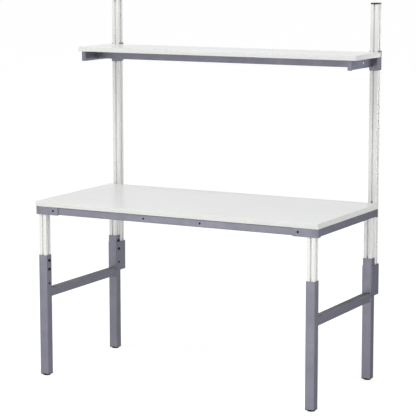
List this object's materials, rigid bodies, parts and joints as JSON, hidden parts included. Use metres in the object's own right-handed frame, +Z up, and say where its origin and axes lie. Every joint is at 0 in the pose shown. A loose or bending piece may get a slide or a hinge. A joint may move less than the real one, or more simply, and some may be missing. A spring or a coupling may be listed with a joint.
{
  "type": "height-adjustable packing workbench",
  "caption": "Packing workbench with a height-adjustable top on telescoping square legs, and two rear uprights that carry a shelf.",
  "frame": {"origin": "on the floor, under the middle of the bench's overall width and depth", "axes": "+X to the right, +Y to the back where the uprights stand, +Z up"},
  "size_m": [1.5, 0.7496, 1.8183],
  "materials": {
    "laminate": "matt pale grey laminate on chipboard",
    "blue_grey_paint": "satin blue-grey powder coat",
    "anodised_aluminium": "natural anodised",
    "black_plastic": "moulded",
    "grey_plastic": "moulded",
    "black_steel": "black oxide"
  },
  "bodies": {
    "base": {"left_front_tube": "blue_grey_paint", "left_rear_tube": "blue_grey_paint", "right_front_tube": "blue_grey_paint", "right_rear_tube": "blue_grey_paint", "left_cross_bar": "blue_grey_paint", "right_cross_bar": "blue_grey_paint", "left_front_foot_insert": "black_plastic", "left_rear_foot_insert": "black_plastic", "right_front_foot_insert": "black_plastic", "right_rear_foot_insert": "black_plastic", "left_front_upper_clamp_screw": "black_steel", "left_front_lower_clamp_screw": "black_steel", "left_rear_upper_clamp_screw": "black_steel", "left_rear_lower_clamp_screw": "black_steel", "right_front_upper_clamp_screw": "black_steel", "right_front_lower_clamp_screw": "black_steel", "right_rear_upper_clamp_screw": "black_steel", "right_rear_lower_clamp_screw": "black_steel", "left_upright_bracket": "blue_grey_paint", "right_upright_bracket": "blue_grey_paint", "left_bracket_lower_bolt": "black_steel", "left_bracket_upper_bolt": "black_steel", "right_bracket_lower_bolt": "black_steel", "right_bracket_upper_bolt": "black_steel", "left_upright": "anodised_aluminium", "right_upright": "anodised_aluminium", "left_upright_cap": "grey_plastic", "right_upright_cap": "grey_plastic"},
    "table": {"worktop": "laminate", "front_rail": "blue_grey_paint", "rear_rail": "blue_grey_paint", "left_rail": "blue_grey_paint", "right_rail": "blue_grey_paint", "left_front_corner": "blue_grey_paint", "left_rear_corner": "blue_grey_paint", "right_front_corner": "blue_grey_paint", "right_rear_corner": "blue_grey_paint", "left_front_leg": "anodised_aluminium", "left_rear_leg": "anodised_aluminium", "right_front_leg": "anodised_aluminium", "right_rear_leg": "anodised_aluminium", "left_front_leg_glide": "black_plastic", "left_rear_leg_glide": "black_plastic", "right_front_leg_glide": "black_plastic", "right_rear_leg_glide": "black_plastic"},
    "shelf": {"shelf_board": "laminate", "shelf_beam": "blue_grey_paint", "left_shelf_arm": "blue_grey_paint", "right_shelf_arm": "blue_grey_paint", "left_shelf_collar": "blue_grey_paint", "right_shelf_collar": "blue_grey_paint", "left_collar_lower_bolt": "black_steel", "left_collar_upper_bolt": "black_steel", "right_collar_lower_bolt": "black_steel", "right_collar_upper_bolt": "black_steel"},
    "left_front_foot": {"left_front_foot": "black_plastic"},
    "left_rear_foot": {"left_rear_foot": "black_plastic"},
    "right_front_foot": {"right_front_foot": "black_plastic"},
    "right_rear_foot": {"right_rear_foot": "black_plastic"}
  },
  "joints": [
    {"name": "table_height_slide", "type": "slide", "parent": "base", "child": "table", "axis": [0, 0, 1], "range_m": [-0.19, 0.21]},
    {"name": "shelf_height_slide", "type": "slide", "parent": "base", "child": "shelf", "axis": [0, 0, 1], "range_m": [-0.4, 0.21]},
    {"name": "left_front_foot_slide", "type": "slide", "parent": "base", "child": "left_front_foot", "axis": [0, 0, -1], "range_m": [0, 0.015]},
    {"name": "left_rear_foot_slide", "type": "slide", "parent": "base", "child": "left_rear_foot", "axis": [0, 0, -1], "range_m": [0, 0.015]},
    {"name": "right_front_foot_slide", "type": "slide", "parent": "base", "child": "right_front_foot", "axis": [0, 0, -1], "range_m": [0, 0.015]},
    {"name": "right_rear_foot_slide", "type": "slide", "parent": "base", "child": "right_rear_foot", "axis": [0, 0, -1], "range_m": [0, 0.015]}
  ]
}
